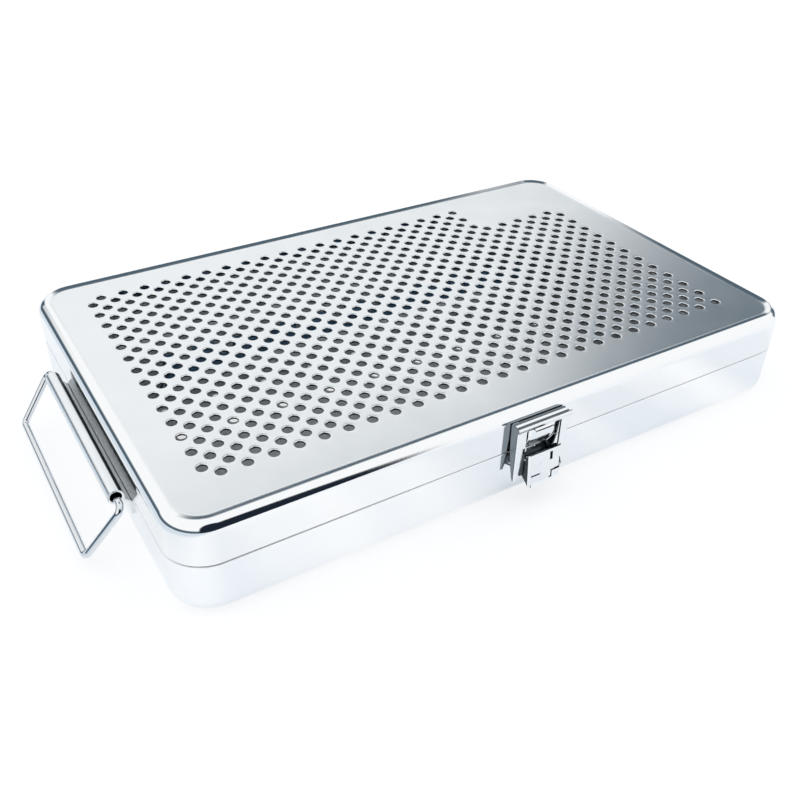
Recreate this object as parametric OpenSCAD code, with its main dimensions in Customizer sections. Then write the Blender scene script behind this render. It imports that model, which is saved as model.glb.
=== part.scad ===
// Perforated steel instrument cassette: a drawn tray, a hinged perforated lid,
// a front draw latch, a rolled bracket with a wire bail at each end, and two
// instrument racks inside.
// Frame: X along the length, Y from the latch (front) to the hinges (back), Z up.
// The origin is the centre of the tray's underside.

// Sub-part to draw

/* [Case] */
// Outside length
body_l = 288; // [250:1:330]
// Outside width
body_w = 183; // [165:1:200]
// Height of the tray up to the seam
base_h = 24; // [22:0.5:32]
// Height of the lid above the seam
lid_h = 18; // [15:0.5:26]
// Corner radius seen from above
corner_r = 16; // [13:0.5:20]
// Radius of the lid's top edge
lid_edge_r = 5; // [3:0.5:6]
// Radius of the tray's bottom edge
base_edge_r = 8; // [5:0.5:9]
// Sheet thickness of the tray and the lid
sheet_t = 0.9; // [0.7:0.1:1.1]
// Depth of the flat top panel below the crest of the rim
panel_drop = 0.7; // [0.5:0.05:0.9]
// Slope from the rim down to the panel, in degrees
rim_slope = 20; // [14:1:20]
// Gap between the lid's edge and the tray's edge
seam_gap = 0.3; // [0.2:0.05:0.5]
// Height of the tray's locating lip above the seam
lip_h = 3; // [2:0.5:4]
// Gap between the lip and the lid's wall
lip_clear = 0.35; // [0.3:0.05:0.6]

/* [Perforation] */
// Hole diameter in the lid
hole_d = 4; // [3:0.1:5]
// Spacing of the square hole grid, which is turned by 45 degrees
hole_grid = 7; // [6.5:0.1:9]
// Least distance from the end columns to where the corners begin
hole_end = 6; // [5:0.5:20]
// Least distance from the outer rows to where the corners begin
hole_side = 4.5; // [4.5:0.5:20]
// Shift of the whole pattern along X
hole_shift_x = -1.3; // [-2:0.1:2]
// Shift of the whole pattern along Y
hole_shift_y = 1.95; // [-2:0.05:2]
// Columns that stop short of the blank patch at the back right
blank_cols = 10; // [0:1:16]
// Rows left out of those columns
blank_rows = 2; // [0:1:4]
// Diameter of the drain holes in the tray's floor
drain_d = 4; // [3:0.5:5]
// Spacing of the drain holes along X
drain_x = 24; // [20:1:30]
// Spacing of the drain holes along Y
drain_y = 20; // [16:1:22]

/* [Hinges] */
// Distance of each hinge from the middle
hinge_x = 78; // [60:1:90]
// Width of a hinge
hinge_w = 26; // [20:1:32]
// Pin diameter
hinge_pin_d = 2.2; // [2:0.1:2.4]
// Knuckle outside diameter
knuckle_d = 4.4; // [4.2:0.1:4.6]
// Distance of the pin's axis from the wall
hinge_out = 2.6; // [2.6:0.1:3]
// Height of each leaf's plate
leaf_h = 9; // [7:0.5:10]
// Thickness of hinge, latch and bracket sheet
fitting_t = 0.8; // [0.7:0.05:0.9]
// Side gap between neighbouring knuckles and sheets
side_gap = 0.4; // [0.3:0.05:0.5]
// Radial running clearance of pins
pin_clear = 0.05; // [0.03:0.01:0.1]

/* [Latch] */
// Outside width of the lever
lever_w = 15.8; // [15:0.1:16.4]
// Height of the lever's face
lever_h = 14.5; // [13:0.5:16]
// Distance of the lever's face from the wall, at its top
lever_out = 7.2; // [7:0.1:7.6]
// Extra distance from the wall at the lever's foot
lever_lean = 1.2; // [0.6:0.1:2]
// Distance of the lever's pivot from the wall
pivot_out = 4.6; // [4.6:0.05:4.8]
// Depth of the pivot below the seam
pivot_drop = 2.2; // [2.1:0.1:2.4]
// Pivot pin diameter
pivot_d = 1.6; // [1.4:0.1:1.8]
// Distance of the link pin from the wall
link_out = 2.6; // [2.5:0.1:2.8]
// Depth of the link pin below the seam
link_drop = 8; // [7.8:0.1:8.6]
// Link pin diameter
link_d = 1.5; // [1.3:0.1:1.6]
// Raised figure's span across the lever
emboss_w = 13.3; // [11:0.1:14]
// Raised figure's span along the lever
emboss_h = 12; // [10:0.1:12.5]
// Width of the raised figure's arms
emboss_arm = 4; // [3:0.1:5]
// Height of the raised figure
emboss_t = 0.6; // [0.3:0.05:0.8]
// Outside width of the hasp
hasp_w = 25; // [24:0.5:28]
// Distance of the hasp's face from the wall
hasp_out = 4.6; // [4.6:0.1:5]
// Depth of the hasp's lower ends below the seam
hasp_drop = 12; // [11.5:0.5:13]
// Extra width of the hasp's top lip on each side
visor_extra = 0.7; // [0.3:0.1:1.2]
// Reach of the top lip beyond the hasp's face
visor_reach = 1.2; // [0.6:0.1:1.6]
// Shank diameter of the rivets in the latch's bracket
latch_rivet_d = 2.4; // [2:0.1:2.8]
// Head diameter of those rivets
latch_rivet_head = 4.4; // [4:0.1:4.8]
// Width of the keeper's dome
dome_w = 14.4; // [13:0.1:15]
// Projection of the keeper's dome
dome_out = 4.9; // [4.2:0.1:5.2]
// Gap between the keeper and the hasp's top bar
keeper_gap = 0.5; // [0.4:0.05:0.8]

/* [Handles] */
// Half-length of the rolled tube
tube_half = 43; // [36:0.5:48]
// Outside diameter of the rolled tube
tube_d = 6; // [5.6:0.1:6.4]
// Distance of the tube's axis from the end wall
tube_out = 5.2; // [5:0.1:6]
// Height of the tube's axis above the seam
tube_rise = 2; // [1:0.25:2.5]
// Depth of the bracket's lower edge below the seam
flange_drop = 8; // [7:0.5:12]
// Shift of the handles along Y
handle_y = -1.5; // [-4:0.5:4]
// Wire diameter of the bail
wire_d = 2.8; // [2.5:0.1:3]
// Wire's sag inside the tube
wire_sag = 0.4; // [0:0.1:0.4]
// Distance from the tube's end to the outside bend of the wire
bail_over = 6.6; // [6:0.1:8]
// Distance from the tube's axis to the bail's bar
bail_reach = 24.1; // [20:0.1:25]
// Amount by which each arm leans in towards the bar
bail_taper = 4; // [0:0.5:6]
// Bend radius of the wire's centre line
bend_r = 2.6; // [2.4:0.1:3.2]
// Angle of the resting bail below the horizontal
bail_droop = 52; // [0:1:60]

/* [Racks] */
// Distance of each rack from the middle
rack_y = 50; // [44:1:54]
// Number of instrument slots
slots = 10; // [6:1:10]
// Spacing of the slots
slot_pitch = 20; // [14:0.5:20]
// Diameter of a slot's round bottom
slot_d = 9; // [6:0.5:10]
// Depth of a slot
slot_depth = 7.5; // [6:0.5:8]
// Thickness of the silicone comb
comb_t = 7; // [5:0.5:8]
// Height of the silicone comb
comb_h = 13; // [12:0.5:15]
// Height of the channel's sides
channel_h = 4; // [3:0.5:4.5]
// Length of the foot beyond the comb at each end
foot_l = 10; // [9:0.5:12]
// Rivet shank diameter
rivet_d = 3; // [2.5:0.1:3.2]
// Rivet head diameter
rivet_head = 5.6; // [5:0.1:6]

/* [Hidden] */
$fn = 48;
top_z = base_h + lid_h;
half_l = body_l / 2;
half_w = body_w / 2;
flat_l = body_l - 2 * corner_r;
flat_w = body_w - 2 * corner_r;
// lid rim: the arc ends at slope_u and the slope ends at panel_u
panel_z = top_z - panel_drop;
rim_x = corner_r - lid_edge_r;
slope_u = rim_x - lid_edge_r * sin(rim_slope);
slope_z = top_z - lid_edge_r * (1 - cos(rim_slope));
panel_u = slope_u - (slope_z - panel_z) / tan(rim_slope);
// perforation
col_step = hole_grid * sqrt(2) / 2;
row_step = 2 * col_step;
hole_cols = floor((flat_l - 2 * hole_end) / col_step) + 1;
hole_rows = floor((flat_w - 2 * hole_side) / row_step);
// hinge axis
hinge_y = half_w + hinge_out;
hinge_z = base_h + seam_gap / 2;
knuckle_r = knuckle_d / 2;
// latch
lever_z = base_h + 0.8;
lever_in = lever_w / 2 - fitting_t;
pivot_z = base_h - pivot_drop;
link_z = base_h - link_drop;
ear_out = lever_in - side_gap;
boss_r = pivot_d / 2 + fitting_t;
arm_in = lever_w / 2 + side_gap;
keeper_low = base_h + 1;
keeper_top = top_z - lid_edge_r - 0.8;
bar_z = keeper_top + keeper_gap;
hasp_in = hasp_out - fitting_t;
hasp_low = base_h - hasp_drop;
// handle
tube_r = tube_d / 2;
tube_z = base_h + tube_rise;
wire_r = wire_d / 2;
bail_half = tube_half + bail_over;
bail_z = tube_z - wire_sag;
arm_turn = 90 + atan(bail_taper / bail_reach);
bar_turn = 180 - arm_turn;
// racks
floor_z = sheet_t;
comb_l = slots * slot_pitch;
comb_z = floor_z + fitting_t;
foot_x = comb_l / 2 + foot_l / 2;

// Sweep an (outwards, up) section round the four sides and corners of the case.
module around_case() {
  for (a = [0, 180])
    rotate([0, 0, a])
      translate([half_l - corner_r, 0, 0])
        rotate([90, 0, 0])
          linear_extrude(height = flat_w, center = true) children();
  for (a = [90, 270])
    rotate([0, 0, a])
      translate([half_w - corner_r, 0, 0])
        rotate([90, 0, 0])
          linear_extrude(height = flat_l, center = true) children();
  for (a = [0, 180])
    rotate([0, 0, a])
      translate([half_l - corner_r, half_w - corner_r, 0])
        rotate_extrude(angle = 90) children();
  for (a = [90, 270])
    rotate([0, 0, a])
      translate([half_w - corner_r, half_l - corner_r, 0])
        rotate_extrude(angle = 90) children();
}

// Quarter bend of sheet, centred on its bend axis, facing outwards and down.
module bend_down(r) {
  intersection() {
    difference() {
      circle(r = r, $fn = 64);
      circle(r = r - sheet_t, $fn = 64);
    }
    translate([0, -r]) square([r, r]);
  }
}

module tray_section() {
  square([corner_r - base_edge_r, sheet_t]);
  translate([corner_r - base_edge_r, base_edge_r]) bend_down(base_edge_r);
  translate([corner_r - sheet_t, base_edge_r]) square([sheet_t, base_h - base_edge_r]);
}

// Locating lip: a strip welded inside the wall and set in above the seam.
module lip_section() {
  polygon([
    [corner_r - sheet_t, base_h - 4],
    [corner_r - sheet_t, base_h - 0.5],
    [corner_r - sheet_t - lip_clear, base_h - 0.1],
    [corner_r - sheet_t - lip_clear, base_h + lip_h],
    [corner_r - 2 * sheet_t - lip_clear, base_h + lip_h],
    [corner_r - 2 * sheet_t - lip_clear, base_h - 4]
  ]);
}

module lid_section() {
  translate([corner_r - sheet_t, base_h + seam_gap])
    square([sheet_t, lid_h - lid_edge_r - seam_gap]);
  // rim arc from the wall over the crest to the start of the slope
  translate([rim_x, top_z - lid_edge_r])
    intersection() {
      difference() {
        circle(r = lid_edge_r, $fn = 64);
        circle(r = lid_edge_r - sheet_t, $fn = 64);
      }
      polygon([
        [0, 0],
        [2 * lid_edge_r, 0],
        [2 * lid_edge_r, 2 * lid_edge_r],
        [-2 * lid_edge_r * tan(rim_slope), 2 * lid_edge_r]
      ]);
    }
  polygon([
    [slope_u, slope_z],
    [panel_u, panel_z],
    [0, panel_z],
    [0, panel_z - sheet_t],
    [panel_u + sheet_t * tan(rim_slope / 2), panel_z - sheet_t],
    [slope_u + sheet_t * sin(rim_slope), slope_z - sheet_t * cos(rim_slope)]
  ]);
}

// One column of lid holes. Odd columns have one hole more.
module hole_column(i) {
  odd = i % 2;
  n = hole_rows + odd;
  last = i < hole_cols - blank_cols ? n : n - blank_rows - odd;
  for (j = [0 : last - 1])
    translate([(i - (hole_cols - 1) / 2) * col_step, (j - (n - 1) / 2) * row_step])
      circle(d = hole_d, $fn = 24);
}

module base_tray() {
  color("#c9cdd0") {
    difference() {
      around_case() tray_section();
      at_latch_rivets() cylinder(d = latch_rivet_d, h = 4, center = true);
    }
    linear_extrude(height = sheet_t)
      difference() {
        square([flat_l, flat_w], center = true);
        for (x = [-4.5 : 1 : 4.5])
          for (y = [-1.5 : 1 : 1.5])
            translate([x * drain_x, y * drain_y]) circle(d = drain_d, $fn = 24);
        for (x = [-foot_x, foot_x])
          for (y = [-rack_y, rack_y])
            translate([x, y]) circle(d = rivet_d, $fn = 24);
      }
  }
}

module tray_lip() {
  color("#c4c9cc") around_case() lip_section();
}

module lid_shell() {
  color("#d4d8da") {
    around_case() lid_section();
    translate([0, 0, panel_z - sheet_t])
      linear_extrude(height = sheet_t)
        difference() {
          square([flat_l, flat_w], center = true);
          translate([hole_shift_x, hole_shift_y])
            for (i = [0 : hole_cols - 1])
              hole_column(i);
        }
  }
}

// Extrude an (outwards, up) section along X, on the back wall.
module on_back(x, w) {
  translate([x, half_w, 0])
    rotate([90, 0, 90])
      linear_extrude(height = w, center = true) children();
}

module knuckle_ring() {
  translate([hinge_out, hinge_z])
    difference() {
      circle(r = knuckle_r, $fn = 48);
      circle(r = hinge_pin_d / 2 + pin_clear, $fn = 48);
    }
}

knuckle_w = hinge_w / 3;
knuckle_clear = knuckle_r + side_gap;

module hinge_leaf_base() {
  color("#bfc4c7")
    for (s = [-1, 1]) {
      x = s * hinge_x;
      on_back(x, hinge_w)
        translate([0, hinge_z - knuckle_clear - leaf_h]) square([fitting_t, leaf_h]);
      for (k = [-1, 1])
        on_back(x + k * knuckle_w, knuckle_w - side_gap) {
          knuckle_ring();
          difference() {
            translate([0, hinge_z - knuckle_clear]) square([hinge_out, knuckle_clear - 1]);
            translate([hinge_out, hinge_z]) circle(r = knuckle_r, $fn = 48);
          }
        }
    }
}

module hinge_leaf_lid() {
  color("#bfc4c7")
    for (s = [-1, 1]) {
      x = s * hinge_x;
      on_back(x, hinge_w)
        translate([0, hinge_z + knuckle_clear]) square([fitting_t, leaf_h]);
      on_back(x, knuckle_w - side_gap) {
        knuckle_ring();
        difference() {
          translate([0, hinge_z + 1]) square([hinge_out, knuckle_clear - 1]);
          translate([hinge_out, hinge_z]) circle(r = knuckle_r, $fn = 48);
        }
      }
    }
}

module hinge_pins() {
  color("#aeb3b6")
    for (s = [-1, 1])
      translate([s * hinge_x, hinge_y, hinge_z])
        rotate([0, 90, 0]) cylinder(d = hinge_pin_d, h = hinge_w, center = true);
}

// Extrude an (outwards, up) section along X, on the front wall.
module on_front(x, w) {
  translate([x, -half_w, 0])
    mirror([0, 1, 0])
      rotate([90, 0, 90])
        linear_extrude(height = w, center = true) children();
}

// Extrude an (X, up) outline outwards from the front wall.
module front_plate(out, t) {
  translate([0, -half_w - out, 0])
    rotate([90, 0, 0])
      linear_extrude(height = t) children();
}

// Cylinder along X on the front, given its distance from the wall and its height.
module front_pin(out, z, d, w) {
  translate([0, -half_w - out, z])
    rotate([0, 90, 0]) cylinder(d = d, h = w, center = true);
}

bracket_top = pivot_z - 1.8;
bracket_low = base_h - 14;
bracket_rivet_z = base_h - 11.5;
bracket_rivet_x = (ear_out - fitting_t) / 2;
ear_low = link_z + link_d / 2 + 1;

// Place something at each rivet of the latch's bracket, pointing outwards.
module at_latch_rivets() {
  for (x = [-bracket_rivet_x, bracket_rivet_x])
    translate([x, -half_w, bracket_rivet_z])
      rotate([90, 0, 0]) children();
}

module latch_bracket() {
  color("#b9bec1") {
    difference() {
      front_plate(0, fitting_t)
        translate([-ear_out, bracket_low]) square([2 * ear_out, bracket_top - bracket_low]);
      at_latch_rivets() cylinder(d = latch_rivet_d, h = 4, center = true);
    }
    for (s = [-1, 1])
      on_front(s * (ear_out - fitting_t / 2), fitting_t)
        difference() {
          union() {
            polygon([
              [fitting_t / 2, bracket_top],
              [pivot_out - 1.1, pivot_z + 1.1],
              [pivot_out + 1.1, pivot_z - 1.1],
              [fitting_t, ear_low],
              [fitting_t / 2, ear_low]
            ]);
            translate([pivot_out, pivot_z]) circle(r = boss_r, $fn = 32);
          }
          translate([pivot_out, pivot_z]) circle(d = pivot_d, $fn = 32);
        }
  }
}

module latch_rivets() {
  color("#a7acb0")
    at_latch_rivets() {
      translate([0, 0, -sheet_t]) cylinder(d = latch_rivet_d, h = sheet_t + fitting_t);
      translate([0, 0, fitting_t]) cylinder(d = latch_rivet_head, h = 0.9);
      translate([0, 0, -sheet_t - 0.7]) cylinder(d = latch_rivet_head, h = 0.7);
    }
}

module latch_pivot() {
  color("#a7acb0")
    front_pin(pivot_out, pivot_z, pivot_d, lever_w + 0.2);
}

// Point on the lever's face: s down from its top edge, n out of the face.
lean = atan(lever_lean / lever_h);
function on_lever(s, n) = [
  lever_out + s * sin(lean) + n * cos(lean),
  lever_z - s * cos(lean) + n * sin(lean)
];
// Four corners of a slab on the lever's face.
function lever_slab(s0, s1, n0, n1) = [
  on_lever(s0, n0),
  on_lever(s1, n0),
  on_lever(s1, n1),
  on_lever(s0, n1)
];
emboss_mid = lever_h / 2;

module latch_lever() {
  color("#c6cacd") {
    on_front(0, lever_w) {
      polygon(lever_slab(0, lever_h, -fitting_t, 0));
      // finger lip at the foot
      polygon([
        on_lever(lever_h - 0.9, -fitting_t),
        on_lever(lever_h + 0.4, 0.5),
        on_lever(lever_h - 0.1, 1.1),
        on_lever(lever_h - 1.2, 0)
      ]);
    }
    on_front(0, emboss_w)
      polygon(lever_slab(emboss_mid - emboss_arm / 2, emboss_mid + emboss_arm / 2, 0, emboss_t));
    on_front(0, emboss_arm)
      polygon(lever_slab(emboss_mid - emboss_h / 2, emboss_mid + emboss_h / 2, 0, emboss_t));
    for (s = [-1, 1])
      on_front(s * (lever_w - fitting_t) / 2, fitting_t)
        difference() {
          polygon([
            on_lever(0, -fitting_t),
            [pivot_out - 0.2, pivot_z + 1.8],
            [pivot_out - 1.6, pivot_z + 0.6],
            [link_out - 1.3, link_z + 1.1],
            [link_out - 1.4, link_z - 0.9],
            [link_out, link_z - 1.8],
            on_lever(lever_h - 0.9, -fitting_t)
          ]);
          translate([pivot_out, pivot_z]) circle(d = pivot_d + 2 * pin_clear, $fn = 32);
          translate([link_out, link_z]) circle(d = link_d, $fn = 32);
        }
  }
}

link_l = 2 * (arm_in + fitting_t) + 1;

module latch_link_pin() {
  color("#a7acb0")
    front_pin(link_out, link_z, link_d, link_l);
}

module latch_hasp() {
  color("#c6cacd") {
    // two arms of the face
    for (s = [0, 1])
      mirror([s, 0, 0])
        front_plate(hasp_in, fitting_t)
          polygon([
            [arm_in, bar_z + fitting_t],
            [hasp_w / 2, bar_z + fitting_t],
            [hasp_w / 2, hasp_low + 4],
            [hasp_w / 2 - 1.2, hasp_low + 1],
            [arm_in + 1.4, hasp_low],
            [arm_in, hasp_low]
          ]);
    // bar over the keeper
    on_front(0, hasp_w)
      polygon([
        [0.5, bar_z],
        [hasp_out, bar_z],
        [hasp_out, bar_z + fitting_t],
        [0.5, bar_z + fitting_t]
      ]);
    // flared top lip
    on_front(0, hasp_w + 2 * visor_extra)
      polygon([
        [hasp_in, bar_z],
        [hasp_out, bar_z],
        [hasp_out + 0.5 * visor_reach, bar_z + 0.3],
        [hasp_out + visor_reach, bar_z + 1],
        [hasp_out + visor_reach - 0.5, bar_z + 1.6],
        [hasp_out + 0.3 * visor_reach, bar_z + 1],
        [hasp_in, bar_z + fitting_t]
      ]);
    // outer side flanges
    for (s = [-1, 1])
      on_front(s * (hasp_w - fitting_t) / 2, fitting_t)
        polygon([
          [hasp_in, bar_z + fitting_t],
          [0.5, bar_z + fitting_t],
          [0.5, bar_z - 6],
          [1.3, base_h - 2],
          [2.6, hasp_low + 4],
          [hasp_in, hasp_low + 4]
        ]);
    // inner lugs round the link pin
    for (s = [-1, 1])
      on_front(s * (arm_in + fitting_t / 2), fitting_t)
        difference() {
          polygon([
            [hasp_in, link_z + 3.5],
            [link_out, link_z + 1.9],
            [link_out - 1.4, link_z + 1],
            [link_out - 1.4, link_z - 1],
            [link_out, link_z - 1.8],
            [hasp_in, link_z - 2.2]
          ]);
          translate([link_out, link_z]) circle(d = link_d + 2 * pin_clear, $fn = 32);
        }
  }
}

dome_h = keeper_top - keeper_low;

module latch_keeper() {
  color("#cfd3d5") {
    front_plate(0, 0.6)
      translate([-dome_w / 2 - 0.4, keeper_low - 0.4]) square([dome_w + 0.8, dome_h + 0.4]);
    intersection() {
      front_plate(0, dome_out) {
        translate([-dome_w / 2, keeper_low + 5]) square([dome_w, dome_h - 5]);
        for (s = [-1, 1])
          translate([s * (dome_w / 2 - 5), keeper_low + 5]) circle(r = 5, $fn = 64);
        translate([-dome_w / 2 + 5, keeper_low]) square([dome_w - 10, 5]);
      }
      on_front(0, dome_w)
        translate([dome_out - 8, keeper_top - 3.4]) circle(r = 8, $fn = 96);
      translate([0, -half_w - dome_out + 8.4, keeper_low])
        cylinder(r = 8.4, h = dome_h, $fn = 96);
    }
  }
}

// Extrude an (outwards, up) section along Y, on the left end wall.
module on_left(w) {
  translate([-half_l, handle_y, 0])
    mirror([1, 0, 0])
      rotate([90, 0, 0])
        linear_extrude(height = w, center = true) children();
}

module handle_bracket() {
  on_left(2 * tube_half) {
    translate([tube_out, tube_z])
      difference() {
        circle(r = tube_r, $fn = 64);
        circle(r = tube_r - fitting_t, $fn = 64);
      }
    // the sheet runs up the wall, steps out and meets the tube
    difference() {
      polygon([
        [0, base_h - flange_drop],
        [fitting_t, base_h - flange_drop],
        [fitting_t, base_h - 2.4],
        [tube_out - tube_r + fitting_t, base_h - 0.4],
        [tube_out - tube_r + fitting_t, tube_z],
        [tube_out - tube_r, tube_z],
        [tube_out - tube_r, base_h],
        [0, base_h - 2]
      ]);
      translate([tube_out, tube_z]) circle(r = tube_r - fitting_t / 2, $fn = 64);
    }
  }
}

module handle_bracket_left() {
  color("#c9cdd0") handle_bracket();
}

module handle_bracket_right() {
  color("#c9cdd0") mirror([1, 0, 0]) handle_bracket();
}

// Straight length of wire in the bail's own plane. It is a hair thicker than the
// bends and runs a little way into them, so that each joint is a clean step.
module wire_run(p, q, into_p, into_q) {
  translate([p[0], p[1], 0])
    rotate([0, 0, atan2(q[1] - p[1], q[0] - p[0])])
      rotate([0, 90, 0])
        translate([0, 0, -into_p])
          cylinder(d = wire_d + run_step, h = norm(q - p) + into_p + into_q, $fn = 32);
}

// Left turn of wire that starts at p in direction a.
module wire_bend(p, a, turn) {
  translate([p[0], p[1], 0])
    rotate([0, 0, a - 90])
      translate([-bend_r, 0, 0])
        rotate_extrude(angle = turn, $fn = 64)
          translate([bend_r, 0]) circle(d = wire_d, $fn = 32);
}

arm_len = norm([bail_taper, bail_reach]);
tube_tan = bend_r * tan(arm_turn / 2);
bar_tan = bend_r * tan(bar_turn / 2);
bail_tip = bail_half - bail_taper;
bend_in = [bail_half - tube_tan, 0];
arm_dir = [-bail_taper, bail_reach] / arm_len;
arm_start = [bail_half, 0] + tube_tan * arm_dir;
arm_end = [bail_tip, bail_reach] - bar_tan * arm_dir;
bar_start_x = bail_tip - bar_tan;
run_into = 0.15;
run_step = 0.04;
wire_gap = 1;

// Half of the bail, from its end inside the tube to the bar.
module half_bail() {
  wire_run([wire_gap / 2, 0], bend_in, 0, run_into);
  wire_bend(bend_in, 0, arm_turn);
  wire_run(arm_start, arm_end, run_into, run_into);
  wire_bend(arm_end, arm_turn, bar_turn);
}

module bail() {
  translate([-half_l - tube_out, handle_y, bail_z])
    rotate([0, -bail_droop, 0])
      rotate([0, 0, 90]) {
        half_bail();
        mirror([1, 0, 0]) half_bail();
        wire_run([-bar_start_x, bail_reach], [bar_start_x, bail_reach], run_into, run_into);
      }
}

module bail_left() {
  color("#b4b9bd") bail();
}

module bail_right() {
  color("#b4b9bd") mirror([1, 0, 0]) bail();
}

// U channel with a flat foot at each end, standing on the tray's floor.
module rack_channel(y) {
  difference() {
    translate([0, y, floor_z]) {
      translate([-comb_l / 2, 0, 0])
        rotate([90, 0, 90])
          linear_extrude(height = comb_l)
            difference() {
              translate([-comb_t / 2 - fitting_t, 0]) square([comb_t + 2 * fitting_t, channel_h + fitting_t]);
              translate([-comb_t / 2, fitting_t]) square([comb_t, channel_h + 1]);
            }
      linear_extrude(height = fitting_t)
        square([comb_l + 2 * foot_l, comb_t + 2 * fitting_t], center = true);
    }
    for (x = [-foot_x, foot_x])
      translate([x, y, floor_z - 1]) cylinder(d = rivet_d, h = fitting_t + 2, $fn = 24);
  }
}

module rack_channel_front() {
  color("#bfc4c7") rack_channel(-rack_y);
}

module rack_channel_back() {
  color("#bfc4c7") rack_channel(rack_y);
}

// Silicone comb with open round-bottomed slots.
module rack_comb(y) {
  translate([0, y, comb_z])
    rotate([90, 0, 0])
      linear_extrude(height = comb_t, center = true)
        difference() {
          translate([-comb_l / 2, 0]) square([comb_l, comb_h]);
          for (i = [0 : slots - 1])
            translate([(i - (slots - 1) / 2) * slot_pitch, comb_h - slot_depth + slot_d / 2]) {
              circle(d = slot_d, $fn = 32);
              translate([-slot_d / 2, 0]) square([slot_d, comb_h]);
            }
        }
}

module rack_comb_front() {
  color("#5d7f9c") rack_comb(-rack_y);
}

module rack_comb_back() {
  color("#5d7f9c") rack_comb(rack_y);
}

module rack_rivets() {
  color("#a7acb0")
    for (x = [-foot_x, foot_x])
      for (y = [-rack_y, rack_y])
        translate([x, y, 0]) {
          cylinder(d = rivet_d, h = comb_z, $fn = 24);
          translate([0, 0, comb_z]) cylinder(d = rivet_head, h = 0.9, $fn = 32);
        }
}

base_tray();
tray_lip();
lid_shell();
hinge_leaf_base();
hinge_leaf_lid();
hinge_pins();
latch_bracket();
latch_rivets();
latch_pivot();
latch_lever();
latch_link_pin();
latch_hasp();
latch_keeper();
handle_bracket_left();
handle_bracket_right();
bail_left();
bail_right();
rack_channel_front();
rack_channel_back();
rack_comb_front();
rack_comb_back();
rack_rivets();
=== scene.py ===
from math import atan, cos, pi, radians, sin, tan

import bmesh
import bpy
from mathutils import Matrix, Vector


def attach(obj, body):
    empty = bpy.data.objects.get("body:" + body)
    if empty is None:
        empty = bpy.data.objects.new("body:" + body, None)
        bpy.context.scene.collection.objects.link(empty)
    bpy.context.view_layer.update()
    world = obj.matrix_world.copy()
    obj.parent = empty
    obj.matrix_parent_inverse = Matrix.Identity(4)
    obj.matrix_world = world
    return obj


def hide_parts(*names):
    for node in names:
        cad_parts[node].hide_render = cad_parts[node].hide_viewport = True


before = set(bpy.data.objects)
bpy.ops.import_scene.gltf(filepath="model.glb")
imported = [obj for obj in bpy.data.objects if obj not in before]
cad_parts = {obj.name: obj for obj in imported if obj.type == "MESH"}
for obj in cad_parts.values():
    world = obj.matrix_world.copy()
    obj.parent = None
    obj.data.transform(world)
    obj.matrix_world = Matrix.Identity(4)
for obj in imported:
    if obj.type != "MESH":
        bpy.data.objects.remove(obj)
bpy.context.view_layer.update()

# All sizes below are in millimetres and repeat the part's own values.
MM = 0.001
HALF_L = 144.0
HALF_W = 91.5
BASE_H = 24.0
TOP_Z = 42.0
CORNER_R = 16.0
CORNER_X = HALF_L - CORNER_R
CORNER_Y = HALF_W - CORNER_R
SHEET_T = 0.9
SEAM_GAP = 0.3
LID_EDGE_R = 5.0
BASE_EDGE_R = 8.0
RIM_U = CORNER_R - LID_EDGE_R
PANEL_Z = TOP_Z - 0.7
LIP_GAP = 0.35
LIP_U = CORNER_R - SHEET_T - LIP_GAP
LIP_TOP = BASE_H + 3
FITTING_T = 0.8
SIDE_GAP = 0.4


# ---------------------------------------------------------------- materials

# The satin of the lid's panel fades into the buffed rim between these distances outwards from the
# lines through the corner centres.
SATIN_ENDS = 9.9
BUFFED_FROM = 11.5


def linear(hex_colour):
    """sRGB hex colour as the linear RGBA that a shader takes."""
    parts = [int(hex_colour[i:i + 2], 16) / 255 for i in (1, 3, 5)]
    return [c / 12.92 if c <= 0.04045 else ((c + 0.055) / 1.055) ** 2.4 for c in parts] + [1.0]


def add(tree, kind, inputs=None, **settings):
    """Adds one node: settings first, then a value or a link for each named input."""
    node = tree.nodes.new(kind)
    for key, value in settings.items():
        setattr(node, key, value)
    for key, value in (inputs or {}).items():
        if isinstance(value, bpy.types.NodeSocket):
            tree.links.new(value, node.inputs[key])
        else:
            node.inputs[key].default_value = value
    return node


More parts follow.
